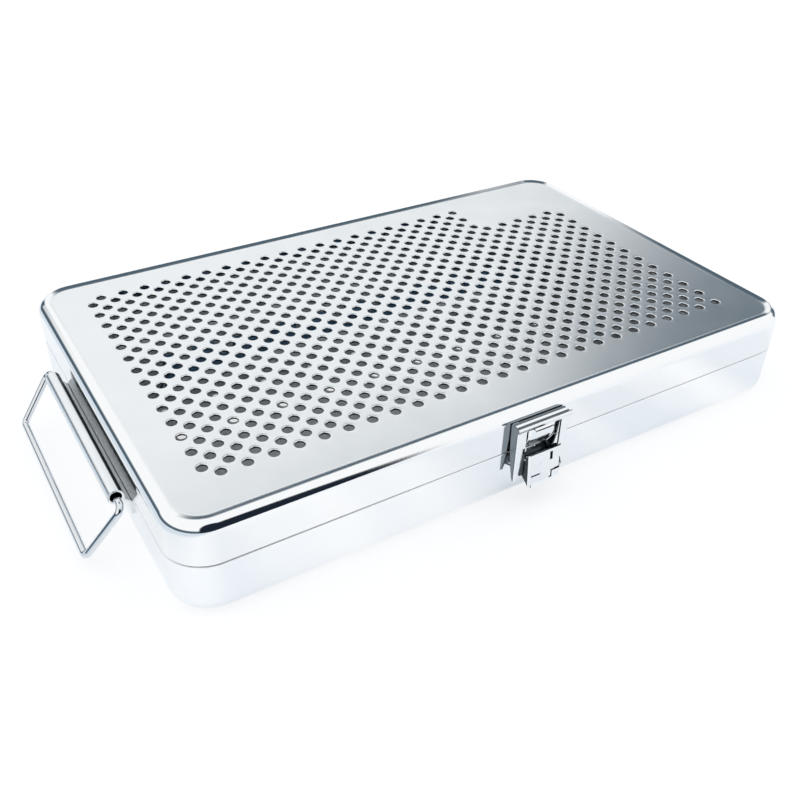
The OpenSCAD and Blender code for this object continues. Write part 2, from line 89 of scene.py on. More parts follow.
def steel(name, colour, rough, rough_spread, wave_mm=0.0, wave_depth=0.0, grain_mm=0.6,
          grain_depth=0.002, grain_stretch=(1, 1, 1), panel_rough=None, panel_colour=None):
    """Stainless steel: a smudge map varies the roughness, a long wave bends the reflections of a
    drawn sheet, and a fine grain stands for the blasted, brushed or tumbled surface. The lid's
    panel is satin inside its buffed rim."""
    mat = bpy.data.materials.new(name)
    mat.use_nodes = True
    tree = mat.node_tree
    tree.nodes.clear()
    place = add(tree, "ShaderNodeTexCoord").outputs["Object"]
    smudge = add(tree, "ShaderNodeTexNoise", {
        "Vector": place, "Scale": 1 / 0.018, "Detail": 4.0, "Roughness": 0.6})
    rough_map = add(tree, "ShaderNodeMapRange", {
        "Value": smudge.outputs["Fac"], "From Min": 0.3, "From Max": 0.7,
        "To Min": rough - rough_spread, "To Max": rough + rough_spread}).outputs["Result"]
    tint = linear(colour)
    if panel_rough is not None:
        size = add(tree, "ShaderNodeVectorMath", {0: place}, operation="ABSOLUTE")
        past = add(tree, "ShaderNodeVectorMath", {
            0: size.outputs[0], 1: (CORNER_X * MM, CORNER_Y * MM, 1.0)}, operation="SUBTRACT")
        clamp = add(tree, "ShaderNodeVectorMath", {0: past.outputs[0], 1: (0, 0, 0)}, operation="MAXIMUM")
        out = add(tree, "ShaderNodeVectorMath", {0: clamp.outputs[0]}, operation="LENGTH")
        mask = add(tree, "ShaderNodeMapRange", {
            "Value": out.outputs["Value"], "From Min": SATIN_ENDS * MM, "From Max": BUFFED_FROM * MM},
            interpolation_type="SMOOTHSTEP")
        satin = add(tree, "ShaderNodeMapRange", {
            "Value": smudge.outputs["Fac"], "From Min": 0.3, "From Max": 0.7,
            "To Min": panel_rough - 0.02, "To Max": panel_rough + 0.02}).outputs["Result"]
        rough_map = add(tree, "ShaderNodeMix", {0: mask.outputs["Result"], 2: satin, 3: rough_map}).outputs[0]
        tint = add(tree, "ShaderNodeMix", {0: mask.outputs["Result"], 6: linear(panel_colour), 7: tint},
                   data_type="RGBA").outputs[2]
    stretch = add(tree, "ShaderNodeMapping", {"Vector": place, "Scale": grain_stretch})
    grain = add(tree, "ShaderNodeTexNoise", {
        "Vector": stretch.outputs[0], "Scale": 1000 / grain_mm, "Detail": 2.0})
    bump = add(tree, "ShaderNodeBump", {
        "Height": grain.outputs["Fac"], "Distance": grain_depth * MM, "Strength": 1.0})
    if wave_depth:
        wave = add(tree, "ShaderNodeTexNoise", {"Vector": place, "Scale": 1000 / wave_mm, "Detail": 1.0})
        bump = add(tree, "ShaderNodeBump", {
            "Height": wave.outputs["Fac"], "Distance": wave_depth * MM, "Strength": 1.0,
            "Normal": bump.outputs[0]})
    shader = add(tree, "ShaderNodeBsdfPrincipled", {
        "Base Color": tint, "Metallic": 1.0, "Roughness": rough_map, "Normal": bump.outputs[0]})
    add(tree, "ShaderNodeOutputMaterial", {"Surface": shader.outputs[0]})
    return mat


def silicone(name, colour):
    """Moulded silicone: a soft matt skin with a faint cloud in its colour."""
    mat = bpy.data.materials.new(name)
    mat.use_nodes = True
    tree = mat.node_tree
    tree.nodes.clear()
    place = add(tree, "ShaderNodeTexCoord").outputs["Object"]
    cloud = add(tree, "ShaderNodeTexNoise", {"Vector": place, "Scale": 1 / 0.006, "Detail": 3.0})
    tint = add(tree, "ShaderNodeMix", {0: cloud.outputs["Fac"], 6: linear(colour[0]), 7: linear(colour[1])},
               data_type="RGBA")
    skin = add(tree, "ShaderNodeTexNoise", {"Vector": place, "Scale": 1 / 0.0005, "Detail": 2.0})
    bump = add(tree, "ShaderNodeBump", {
        "Height": skin.outputs["Fac"], "Distance": 0.02 * MM, "Strength": 1.0})
    shader = add(tree, "ShaderNodeBsdfPrincipled", {
        "Base Color": tint.outputs[2], "Roughness": 0.55, "IOR": 1.41, "Normal": bump.outputs[0]})
    add(tree, "ShaderNodeOutputMaterial", {"Surface": shader.outputs[0]})
    return mat


LID_STEEL = steel("lid_sheet_buffed_rim_satin_panel", "#f9fafb", 0.07, 0.02, 60, 0.10, 0.8, 0.004,
                  panel_rough=0.24, panel_colour="#f2f5f7")
TRAY_STEEL = steel("tray_sheet_buffed", "#f9fbfd", 0.08, 0.03, 60, 0.12, 0.8, 0.003)
SATIN_STEEL = steel("bracket_sheet_tumbled", "#f1f4f6", 0.22, 0.05, 0, 0, 0.7, 0.02)
FITTING_STEEL = steel("latch_sheet_stamped", "#f6f8fa", 0.12, 0.03, 9, 0.03, 0.5, 0.002)
PIN_STEEL = steel("pins_turned", "#d3d7da", 0.18, 0.04, 0, 0, 0.4, 0.004)
WIRE_STEEL = steel("wire_drawn", "#e4e7ea", 0.10, 0.03, 0, 0, 0.5, 0.003, (1, 0.08, 0.3))
INNER_STEEL = steel("inside_of_sheet_satin", "#f6f8f9", 0.46, 0.04, 0, 0, 0.8, 0.01)
# Painted shade: a dark steel put on hole walls, backs, sides and gaps where shade falls and dark is mirrored.
PAINTED_SHADE_STEEL = steel("painted_shade_dark_steel", "#3f484e", 0.34, 0.08, 0, 0, 0.6, 0.02)
# Painted shade: a slate steel for faces that look darker from the dark they mirror and the shade on them.
PAINTED_SLATE_STEEL = steel("painted_shade_slate_steel", "#7e878d", 0.3, 0.05, 0, 0, 0.6, 0.01)
COMB_SILICONE = silicone("comb_silicone", ("#54789a", "#5f86a8"))
FINISH = {
    "sheet_polished": TRAY_STEEL, "sheet_satin": SATIN_STEEL, "fittings": FITTING_STEEL,
    "pins": PIN_STEEL, "wire": WIRE_STEEL, "silicone": COMB_SILICONE,
}


# ------------------------------------------------------------ making pieces

def finish_piece(name, bm, body, slot, replaces, material=None, bevel=0.0, sharp=40, others=()):
    """Closes the mesh, turns it outwards, smooths it up to the sharp edges, and hands it over. The
    faces that pass a test (centre in mm, normal) get that test's material: a finish of the sheet, or painted
    shade."""
    bmesh.ops.remove_doubles(bm, verts=bm.verts, dist=0.001)
    bmesh.ops.recalc_face_normals(bm, faces=bm.faces)
    bm.normal_update()
    for face in bm.faces:
        face.smooth = True
        for i, (_, test) in enumerate(others):
            if test(face.calc_center_median(), face.normal):
                face.material_index = i + 1
    bmesh.ops.scale(bm, vec=(MM, MM, MM), verts=bm.verts)
    for edge in bm.edges:
        edge.smooth = bool(bevel) or len(edge.link_faces) != 2 or edge.calc_face_angle() < radians(sharp)
    mesh = bpy.data.meshes.new(name)
    bm.to_mesh(mesh)
    bm.free()
    mesh.materials.append(material or FINISH[slot])
    for finish_or_painted_shade, _ in others:
        mesh.materials.append(finish_or_painted_shade)
    piece = bpy.data.objects.new(name, mesh)
    bpy.context.scene.collection.objects.link(piece)
    if bevel:
        round_edges = piece.modifiers.new("edges", "BEVEL")
        round_edges.width = bevel * MM
        round_edges.segments = 2
        round_edges.limit_method = "ANGLE"
        round_edges.angle_limit = radians(sharp)
    even = piece.modifiers.new("even", "WEIGHTED_NORMAL")
    even.keep_sharp = True
    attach(piece, body)
    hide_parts(*replaces)
    return piece


def verts_of(geom):
    return [g for g in geom if isinstance(g, bmesh.types.BMVert)]


def edges_of(geom):
    return [g for g in geom if isinstance(g, bmesh.types.BMEdge)]


def faces_of(geom):
    return [g for g in geom if isinstance(g, bmesh.types.BMFace)]


def line(bm, points):
    """Vertices joined one after the other; returns the vertices and the edges."""
    verts = [bm.verts.new(p) for p in points]
    return verts, [bm.edges.new(pair) for pair in zip(verts, verts[1:])]


def arc(cx, cy, r, start, end, steps):
    """Points on a circle from one angle to another, in degrees."""
    turn = [radians(start + (end - start) * i / steps) for i in range(steps + 1)]
    return [(cx + r * cos(a), cy + r * sin(a)) for a in turn]


def around_case(bm, section, steps=24):
    """Sweeps an (outwards, up) section round the case: one corner is spun, its half sides are
    drawn out, and the quarter is mirrored twice."""
    verts, start = line(bm, [(CORNER_X + u, CORNER_Y, z) for u, z in section])
    corner = bmesh.ops.spin(bm, geom=verts + start, cent=(CORNER_X, CORNER_Y, 0), axis=(0, 0, 1),
                            angle=pi / 2, steps=steps)
    for edges, move in ((start, (0, -CORNER_Y, 0)), (edges_of(corner["geom_last"]), (-CORNER_X, 0, 0))):
        side = bmesh.ops.extrude_edge_only(bm, edges=edges)
        bmesh.ops.translate(bm, vec=move, verts=verts_of(side["geom"]))
    for axis in "XY":
        bmesh.ops.mirror(bm, geom=bm.verts[:] + bm.edges[:] + bm.faces[:], matrix=Matrix.Identity(4),
                         merge_dist=0.001, axis=axis)


def hole(bm, x, y, wall, steps=16):
    """Side of one round hole, spun from (radius, up) points."""
    verts, edges = line(bm, [(x + r, y, z) for r, z in wall])
    bmesh.ops.spin(bm, geom=verts + edges, cent=(x, y, 0), axis=(0, 0, 1), angle=2 * pi, steps=steps,
                   use_merge=True)


def fill_level(bm, z):
    """Fills the flat sheet at one height, between the loops that are open there."""
    rim = [e for e in bm.edges
           if len(e.link_faces) < 2 and all(abs(v.co.z - z) < 0.001 for v in e.verts)]
    bmesh.ops.triangle_fill(bm, use_beauty=True, use_dissolve=False, edges=rim, normal=(0, 0, 1))


def hole_cell(wall, corners):
    """Mesh of one hole with the sheet round it out to its cell's corners, top and underside."""
    bm = bmesh.new()
    hole(bm, 0, 0, wall)
    for z in (wall[0][1], wall[-1][1]):
        verts = line(bm, [(x, y, z) for x, y in corners])[0]
        bm.edges.new((verts[-1], verts[0]))
        fill_level(bm, z)
    mesh = bpy.data.meshes.new("cell")
    bm.to_mesh(mesh)
    bm.free()
    return mesh


def sheet_of(cells):
    """Sheet of copies of (cell, place), welded where they meet."""
    bm = bmesh.new()
    for cell, place in cells:
        kept = len(bm.verts)
        bm.from_mesh(cell)
        bm.verts.ensure_lookup_table()
        bmesh.ops.translate(bm, vec=place, verts=bm.verts[kept:])
    bmesh.ops.remove_doubles(bm, verts=bm.verts, dist=0.001)
    mesh = bpy.data.meshes.new("sheet")
    bm.to_mesh(mesh)
    bm.free()
    return mesh


def stand(origin, across, up, along):
    """Matrix that stands a flat outline up: its axes go across and up, its thickness along."""
    place = Matrix((across, up, along)).transposed().to_4x4()
    place.translation = origin
    return place


def on_front(x=0.0):
    return stand((x, -HALF_W, 0), (0, -1, 0), (0, 0, 1), (1, 0, 0))


def on_back(x=0.0):
    return stand((x, HALF_W, 0), (0, 1, 0), (0, 0, 1), (1, 0, 0))


def extruded(bm, outline, width, place, holes=()):
    """Flat outline, with its holes, drawn out to a width that is centred on the outline."""
    made = []
    edges = []
    for loop in (outline, *holes):
        verts, new = line(bm, [(a, b, -width / 2) for a, b in loop])
        edges += new + [bm.edges.new((verts[-1], verts[0]))]
        made += verts
    if holes:
        faces = faces_of(bmesh.ops.triangle_fill(bm, use_beauty=True, use_dissolve=False, edges=edges,
                                                 normal=(0, 0, 1))["geom"])
    else:
        faces = [bm.faces.new(made)]
    top = verts_of(bmesh.ops.extrude_face_region(bm, geom=faces)["geom"])
    bmesh.ops.translate(bm, vec=(0, 0, width), verts=top)
    bmesh.ops.transform(bm, matrix=place, verts=made + top)


def turned(bm, profile, place, steps=32):
    """Solid of (radius, along) points spun round its own axis."""
    verts, edges = line(bm, [(r, 0, z) for r, z in profile])
    before = set(bm.verts) - set(verts)
    bmesh.ops.spin(bm, geom=verts + edges, cent=(0, 0, 0), axis=(0, 0, 1), angle=2 * pi, steps=steps,
                   use_merge=True)
    new = [v for v in bm.verts if v not in before]
    bmesh.ops.transform(bm, matrix=place, verts=new)


def cut(whole, cutter, operation="DIFFERENCE"):
    """The first mesh cut by the second, or kept only inside it."""
    pair = []
    for bm in (whole, cutter):
        bmesh.ops.recalc_face_normals(bm, faces=bm.faces)
        mesh = bpy.data.meshes.new("stock")
        bm.to_mesh(mesh)
        bm.free()
        pair.append(bpy.data.objects.new("stock", mesh))
        bpy.context.scene.collection.objects.link(pair[-1])
    saw = pair[0].modifiers.new("saw", "BOOLEAN")
    saw.object = pair[1]
    saw.operation = operation
    saw.solver = "EXACT"
    saw.use_self = True
    made = bmesh.new()
    made.from_object(pair[0], bpy.context.evaluated_depsgraph_get())
    for stock in pair:
        bpy.data.objects.remove(stock)
    return made


# ---------------------------------------------------------------------- lid

HOLE_R = 2.0
HOLE_GRID = 7.0
HOLE_SHIFT = (-1.3, 1.95)
HOLE_COLUMNS = 50
HOLE_ROWS = 14
BLANK_COLUMNS = 10
BLANK_ROWS = 2
RIM_SLOPE = 15        # from the panel up to the crest, in degrees
FOOT_R = 2.5          # fillet between the panel and the slope
CREST_R = 0.5
BEND_START = 56       # where the crest meets the edge's bend, in degrees above the wall's normal


def lid_section():
    """(outwards, up) points of the lid's sheet, from the panel's top face up the slope, over the
    crest and the edge's bend, down the wall, round its hem and back up inside to the underside."""
    centre = TOP_Z - LID_EDGE_R
    bend = radians(BEND_START)
    slope = radians(RIM_SLOPE)
    reach = LID_EDGE_R * (1 - sin(bend)) / cos(bend)
    crest_u = RIM_U + LID_EDGE_R * cos(bend) - reach * sin(bend)
    foot_u = crest_u - (TOP_Z - PANEL_Z) / tan(slope)
    foot = FOOT_R * tan(slope / 2)
    top = arc(foot_u - foot, PANEL_Z + FOOT_R, FOOT_R, -90, RIM_SLOPE - 90, 5)
    turn = (90 + RIM_SLOPE - BEND_START) / 2
    to_centre = CREST_R / cos(radians(turn))
    middle = radians(90 + RIM_SLOPE - turn)
    crest = arc(crest_u - to_centre * cos(middle), TOP_Z - to_centre * sin(middle), CREST_R,
                90 + RIM_SLOPE, BEND_START, 8)
    rim = arc(RIM_U, centre, LID_EDGE_R, BEND_START, 0, 16)
    hem = arc(CORNER_R - 0.3, BASE_H + SEAM_GAP + 0.3, 0.3, 0, -90, 3)
    low = [(CORNER_R - SHEET_T, BASE_H + SEAM_GAP)]
    inside = arc(RIM_U, centre, LID_EDGE_R - SHEET_T, 0, 75, 10)
    back = [(foot_u, PANEL_Z - SHEET_T), (foot_u - foot - 0.5, PANEL_Z - SHEET_T)]
    return top + crest + rim + hem + low + inside + back


def make_lid():
    """Rim and wall swept round the case, and a panel of diamond cells with a hole in each; the last
    columns stop short at the back."""
    step = HOLE_GRID * sin(pi / 4)
    wall = [(HOLE_R + 0.6, PANEL_Z), (HOLE_R + 0.35, PANEL_Z - 0.04), (HOLE_R + 0.12, PANEL_Z - 0.14),
            (HOLE_R, PANEL_Z - 0.34), (HOLE_R, PANEL_Z - SHEET_T)]
    cell = hole_cell(wall, [(step, 0), (0, step), (-step, 0), (0, -step)])
    column = {rows: sheet_of([(cell, (0, 2 * j * step, 0)) for j in range(rows)])
              for rows in (HOLE_ROWS - BLANK_ROWS, HOLE_ROWS, HOLE_ROWS + 1)}
    columns = []
    for i in range(HOLE_COLUMNS):
        rows = HOLE_ROWS + i % 2
        kept = rows if i < HOLE_COLUMNS - BLANK_COLUMNS else HOLE_ROWS - BLANK_ROWS
        x = (i - (HOLE_COLUMNS - 1) / 2) * step + HOLE_SHIFT[0]
        columns.append((column[kept], (x, HOLE_SHIFT[1] - (rows - 1) * step, 0)))
    bm = bmesh.new()
    around_case(bm, lid_section())
    bm.from_mesh(sheet_of(columns))
    fill_level(bm, PANEL_Z)
    fill_level(bm, PANEL_Z - SHEET_T)

    def inside(c, n):
        return n.z < -0.5 and c.z > BASE_H + 2

    # Painted shade: the walls of the holes get the dark steel, for the shade inside each hole.
    def hole_side(c, n):
        return abs(n.z) < 0.3 and c.z < PANEL_Z - 0.3 and abs(c.x) < CORNER_X and abs(c.y) < CORNER_Y

    finish_piece("lid_shell_sheet", bm, "lid", "sheet_satin", ["lid_shell"], LID_STEEL,
                 others=[(INNER_STEEL, inside), (PAINTED_SHADE_STEEL, hole_side)])


# --------------------------------------------------------------------- tray

DRAIN_R = 2.0
DRAIN_PITCH = (24, 20)
FOOT_X = 105.0
RACK_Y = 50.0
RIVET_R = 1.5


def tray_section():
    """(outwards, up) points of the tray's sheet, from its underside round the bottom edge, up the
    wall, over the hem and back down inside to the floor."""
    r = BASE_EDGE_R
    bottom = arc(CORNER_R - r, r, r, -90, 0, 16)
    hem = arc(CORNER_R - 0.3, BASE_H - 0.3, 0.3, 0, 90, 3)
    edge = [(CORNER_R - SHEET_T, BASE_H - 0.02)]
    inside = arc(CORNER_R - r, r, r - SHEET_T, 0, -90, 12)
    return bottom + hem + edge + inside


def lip_section():
    """(outwards, up) points of the strip spot-welded inside the wall: flat on the wall, stepped in
    where the lid drops over it, with a rounded top edge. The last point closes the loop."""
    wall = CORNER_R - SHEET_T
    low = [(wall, BASE_H - 4), (wall, BASE_H - 1.2), (LIP_U, BASE_H - 0.1)]
    top = arc(LIP_U - SHEET_T / 2, LIP_TOP - SHEET_T / 2, SHEET_T / 2, 0, 180, 6)
    return low + top + [(LIP_U - SHEET_T, BASE_H - 0.3), (wall - SHEET_T, BASE_H - 1.5),
                        (wall - SHEET_T, BASE_H - 4), (wall, BASE_H - 4)]


def make_tray():
    bm = bmesh.new()
    around_case(bm, tray_section())
    drain = [(DRAIN_R, 0), (DRAIN_R, SHEET_T - 0.15), (DRAIN_R + 0.15, SHEET_T)]
    x, y = (p / 2 for p in DRAIN_PITCH)
    cell = hole_cell(drain, [(x, y), (-x, y), (-x, -y), (x, -y)])
    bm.from_mesh(sheet_of([(cell, ((i - 4.5) * DRAIN_PITCH[0], (j - 1.5) * DRAIN_PITCH[1], 0))
                           for i in range(10) for j in range(4)]))
    for x in (-FOOT_X, FOOT_X):
        for y in (-RACK_Y, RACK_Y):
            hole(bm, x, y, [(RIVET_R + 0.1, 0), (RIVET_R + 0.01, 0.1), (RIVET_R + 0.01, SHEET_T)])
    fill_level(bm, 0)
    fill_level(bm, SHEET_T)

    def inside(c, n):
        within = c.z > 0.5 and abs(c.x) < HALF_L - 0.5 and abs(c.y) < HALF_W - 0.5
        return within and (n.z > 0.5 or n.x * c.x + n.y * c.y < 0)

    finish_piece("base_tray_sheet", bm, "base", "sheet_polished", ["base_tray"], TRAY_STEEL,
                 others=[(INNER_STEEL, inside)])
    bm = bmesh.new()
    around_case(bm, lip_section())
    finish_piece("tray_lip_strip", bm, "base", "sheet_polished", ["tray_lip"], INNER_STEEL)


# ------------------------------------------------------------------ handles

TUBE_HALF = 43.0
TUBE_R = 3.0
TUBE_OUT = 5.2
TUBE_Z = BASE_H + 2
FLANGE_Z = BASE_H - 8
HANDLE_Y = -1.5
WIRE_R = 1.4
WIRE_SAG = 0.4
BAIL_HALF = TUBE_HALF + 6.6
BAIL_REACH = 24.1
BAIL_TAPER = 4.0
BEND_R = 2.6
BAIL_DROOP = radians(52)


def make_handle_bracket(name, side):
    """Sheet that is spot-welded to the end wall, steps out and is rolled into a tube."""
    bm = bmesh.new()
    step_in = TUBE_OUT - TUBE_R
    t = FITTING_T
    outline = ([(0, FLANGE_Z), (0, BASE_H - 2.3)]
               + [(0.25, BASE_H - 1.75), (step_in - 0.25, BASE_H - 0.25), (step_in, BASE_H + 0.3)]
               + arc(TUBE_OUT, TUBE_Z, TUBE_R, 180, -133, 40)
               + [(step_in + t, BASE_H - 0.25), (step_in + t - 0.2, BASE_H - 0.6),
                  (t + 0.2, BASE_H - 2.1), (t, BASE_H - 2.6), (t, FLANGE_Z)])
    bore = arc(TUBE_OUT, TUBE_Z, TUBE_R - t, 0, 351, 39)
    along = stand((-HALF_L, HANDLE_Y, 0), (-1, 0, 0), (0, 0, 1), (0, 1, 0))
    extruded(bm, outline, 2 * TUBE_HALF, along, [bore])
    bmesh.ops.scale(bm, vec=(-side, 1, 1), verts=bm.verts)

    def step(c, n):
        return c.z < BASE_H + 0.4 and n.x * side < 0.2

    # Painted shade: the tube's faces turned to the wall get the dark steel, for the shade in the gap.
    def wall_side(c, n):
        return c.z > BASE_H + 0.4 and n.x * side < -0.45

    finish_piece(name + "_rolled", bm, "base", "sheet_satin", [name], bevel=0.15,
                 others=[(INNER_STEEL, step), (PAINTED_SHADE_STEEL, wall_side)])


def make_bail(name, body, side):
    """Wire from inside the tube, round a bend, along the arm and round the next bend to the middle
    of the bar; the other half is its mirror image."""
    bm = bmesh.new()
    arm_turn = pi / 2 + atan(BAIL_TAPER / BAIL_REACH)
    turns = (arm_turn, pi - arm_turn)
    tangent = [BEND_R * tan(a / 2) for a in turns]
    arm = Vector((-BAIL_TAPER, BAIL_REACH, 0))
    start = 0.5
    bmesh.ops.create_circle(bm, cap_ends=True, segments=20, radius=WIRE_R,
                            matrix=Matrix.Translation((start, 0, 0)) @ Matrix.Rotation(pi / 2, 4, "Y"))
    ends = bm.edges[:]
    heading = 0.0
    at = Vector((start, 0, 0))
    runs = (BAIL_HALF - tangent[0] - start, arm.length - tangent[0] - tangent[1],
            BAIL_HALF - BAIL_TAPER - tangent[1])
    for i, run in enumerate(runs):
        go = Vector((cos(heading), sin(heading), 0))
        drawn = bmesh.ops.extrude_edge_only(bm, edges=ends)["geom"]
        bmesh.ops.translate(bm, vec=go * run, verts=verts_of(drawn))
        ends = [e for e in edges_of(drawn) if e.is_boundary]
        at += go * run
        if i < 2:
            centre = at + Vector((-sin(heading), cos(heading), 0)) * BEND_R
            geom = list({v for e in ends for v in e.verts}) + ends
            bend = bmesh.ops.spin(bm, geom=geom, cent=centre, axis=(0, 0, 1), angle=turns[i], steps=14)
            ends = edges_of(bend["geom_last"])
            at = centre + Matrix.Rotation(turns[i], 3, "Z") @ (at - centre)
            heading += turns[i]
    bmesh.ops.mirror(bm, geom=bm.verts[:] + bm.edges[:] + bm.faces[:], matrix=Matrix.Identity(4),
                     merge_dist=0.001, axis="X")
    place = (Matrix.Translation((-HALF_L - TUBE_OUT, HANDLE_Y, TUBE_Z - WIRE_SAG))
             @ Matrix.Rotation(-BAIL_DROOP, 4, "Y") @ Matrix.Rotation(pi / 2, 4, "Z"))
    bmesh.ops.transform(bm, matrix=place, verts=bm.verts)
    bmesh.ops.scale(bm, vec=(-side, 1, 1), verts=bm.verts)
    finish_piece(name + "_wire", bm, body, "wire", [name])


# ------------------------------------------------------------------- hinges

HINGE_X = 78.0
HINGE_W = 26.0
HINGE_OUT = 2.6
HINGE_Z = BASE_H + 0.15
KNUCKLE_R = 2.2
KNUCKLE_BORE = 1.25
LEAF_H = 9.0
LEAF_CORNER_R = 1.5
WELD_R = 1.1
WELDS_X = (-7.5, 0, 7.5)
KNUCKLE_CLEAR = KNUCKLE_R + SIDE_GAP


def knuckle_outline(way):
    """(outwards, up) outline of the sheet where it leaves the leaf and is rolled round the pin. The
    last value says which way it rolls: 1 from the lid down, -1 from the tray up."""
    roll = arc(HINGE_OUT, 0, KNUCKLE_R, 180, -150, 30)
    bore = arc(HINGE_OUT, 0, KNUCKLE_BORE, -150, 180, 24)
    root = [(0, KNUCKLE_CLEAR + 0.01), (0.4 * FITTING_T, 1.2), (HINGE_OUT - KNUCKLE_R, 0)]
    back = [(HINGE_OUT - KNUCKLE_BORE - 0.02, 0.6), (FITTING_T + 0.15, 1.9), (FITTING_T, KNUCKLE_CLEAR + 0.01)]
    return [(a, HINGE_Z + way * b) for a, b in root[:-1] + roll + bore + back]


def make_hinge_leaves():
    """A leaf and its rolled knuckles, on the lid with one knuckle and on the tray with two."""
    pitch = HINGE_W / 3
    for name, body, way, knuckles in (("hinge_leaf_lid", "lid", 1, (0,)),
                                      ("hinge_leaf_base", "base", -1, (-1, 1))):
        bm = bmesh.new()
        for side in (-1, 1):
            x = side * HINGE_X
            low, high = sorted((HINGE_Z + way * KNUCKLE_CLEAR, HINGE_Z + way * (KNUCKLE_CLEAR + LEAF_H)))
            soft = LEAF_CORNER_R
            half = HINGE_W / 2
            weld_z = (low + high) / 2 - way * 0.5
            if way > 0:
                leaf = ([(-half, low), (half, low)] + arc(half - soft, high - soft, soft, 0, 90, 6)
                        + arc(-half + soft, high - soft, soft, 90, 180, 6))
            else:
                leaf = ([(half, high), (-half, high)] + arc(-half + soft, low + soft, soft, 180, 270, 6)
                        + arc(half - soft, low + soft, soft, 270, 360, 6))
            welds = [arc(wx, weld_z, WELD_R, 0, 330, 11) for wx in WELDS_X]
            plate = stand((x, HALF_W + FITTING_T / 2, 0), (1, 0, 0), (0, 0, 1), (0, 1, 0))
            extruded(bm, leaf, FITTING_T, plate, welds)
            for wx in WELDS_X:
                turned(bm, [(0, 0.25), (0.6, 0.3), (0.95, 0.5), (WELD_R, FITTING_T)],
                       stand((x + wx, HALF_W, weld_z), (1, 0, 0), (0, 0, 1), (0, 1, 0)), 12)
            for k in knuckles:
                extruded(bm, knuckle_outline(way), pitch - SIDE_GAP, on_back(x + k * pitch))
        finish_piece(name + "_rolled", bm, body, "fittings", [name], bevel=0.12)


def make_pins():
    """Hinge pins with peened ends, and the two pins of the latch."""
    bm = bmesh.new()
    for side in (-1, 1):
        half = HINGE_W / 2
        r = KNUCKLE_BORE - 0.15
        profile = [(0, -half), (0.55 * r, -half + 0.06), (r - 0.12, -half + 0.25), (r, -half + 0.5),
                   (r, half - 0.5), (r - 0.12, half - 0.25), (0.55 * r, half - 0.06), (0, half)]
        turned(bm, profile, stand((side * HINGE_X, HALF_W + HINGE_OUT, HINGE_Z),
                                  (0, 1, 0), (0, 0, 1), (1, 0, 0)))
    finish_piece("hinge_pins_turned", bm, "base", "pins", ["hinge_pins"])
    for name, body, out, z, r, half in (
            ("latch_pivot", "base", PIVOT[0], PIVOT[1], 0.8, LEVER_W / 2 + 0.1),
            ("latch_link_pin", "lever", LINK[0], LINK[1], 0.75, LEVER_W / 2 + SIDE_GAP + FITTING_T + 0.5)):
        bm = bmesh.new()
        profile = [(0, -half), (0.5 * r, -half + 0.03), (r - 0.1, -half + 0.18), (r, -half + 0.35),
                   (r, half - 0.35), (r - 0.1, half - 0.18), (0.5 * r, half - 0.03), (0, half)]
        turned(bm, profile, stand((0, -HALF_W - out, z), (0, 1, 0), (0, 0, 1), (1, 0, 0)), 24)
        finish_piece(name + "_turned", bm, body, "pins", [name])


# -------------------------------------------------------------------- latch

LEVER_W = 15.8
LEVER_H = 14.5
LEVER_OUT = 7.2
LEVER_Z = BASE_H + 0.8
LEAN = atan(1.2 / LEVER_H)
PIVOT = (4.6, BASE_H - 2.2)
LINK = (2.6, BASE_H - 8)
FIGURE_W = 13.3
FIGURE_H = 12.0
FIGURE_ARM = 4.0
FIGURE_T = 0.3
SLIT = 0.95
HASP_W = 25.0
HASP_OUT = 4.6
BAR_Z = TOP_Z - LID_EDGE_R - 0.3
HASP_LOW = BASE_H - 12
ARM_IN = LEVER_W / 2 + SIDE_GAP
DOME_W = 14.4
DOME_OUT = 4.9
DOME_LOW = BASE_H + 1
DOME_TOP = BAR_Z - 0.5
CREASE_Z = DOME_TOP - 2.0


def on_lever(s, n):
    """(outwards, up) point of the lever's face: s down from its top edge, n out of the face."""
    return (LEVER_OUT + s * sin(LEAN) + n * cos(LEAN), LEVER_Z - s * cos(LEAN) + n * sin(LEAN))


def channel(half, r, depth):
    """(across, outwards) outline of a U channel of latch sheet: the web is at 0, the sides go back."""
    t = FITTING_T
    outer = arc(half - r, -r, r, 0, 90, 8) + arc(-half + r, -r, r, 90, 180, 8)
    inner = arc(-half + r, -r, r - t, 180, 90, 5) + arc(half - r, -r, r - t, 90, 0, 5)
    return [(half, -depth)] + outer + [(-half, -depth), (-half + t, -depth)] + inner + [(half - t, -depth)]


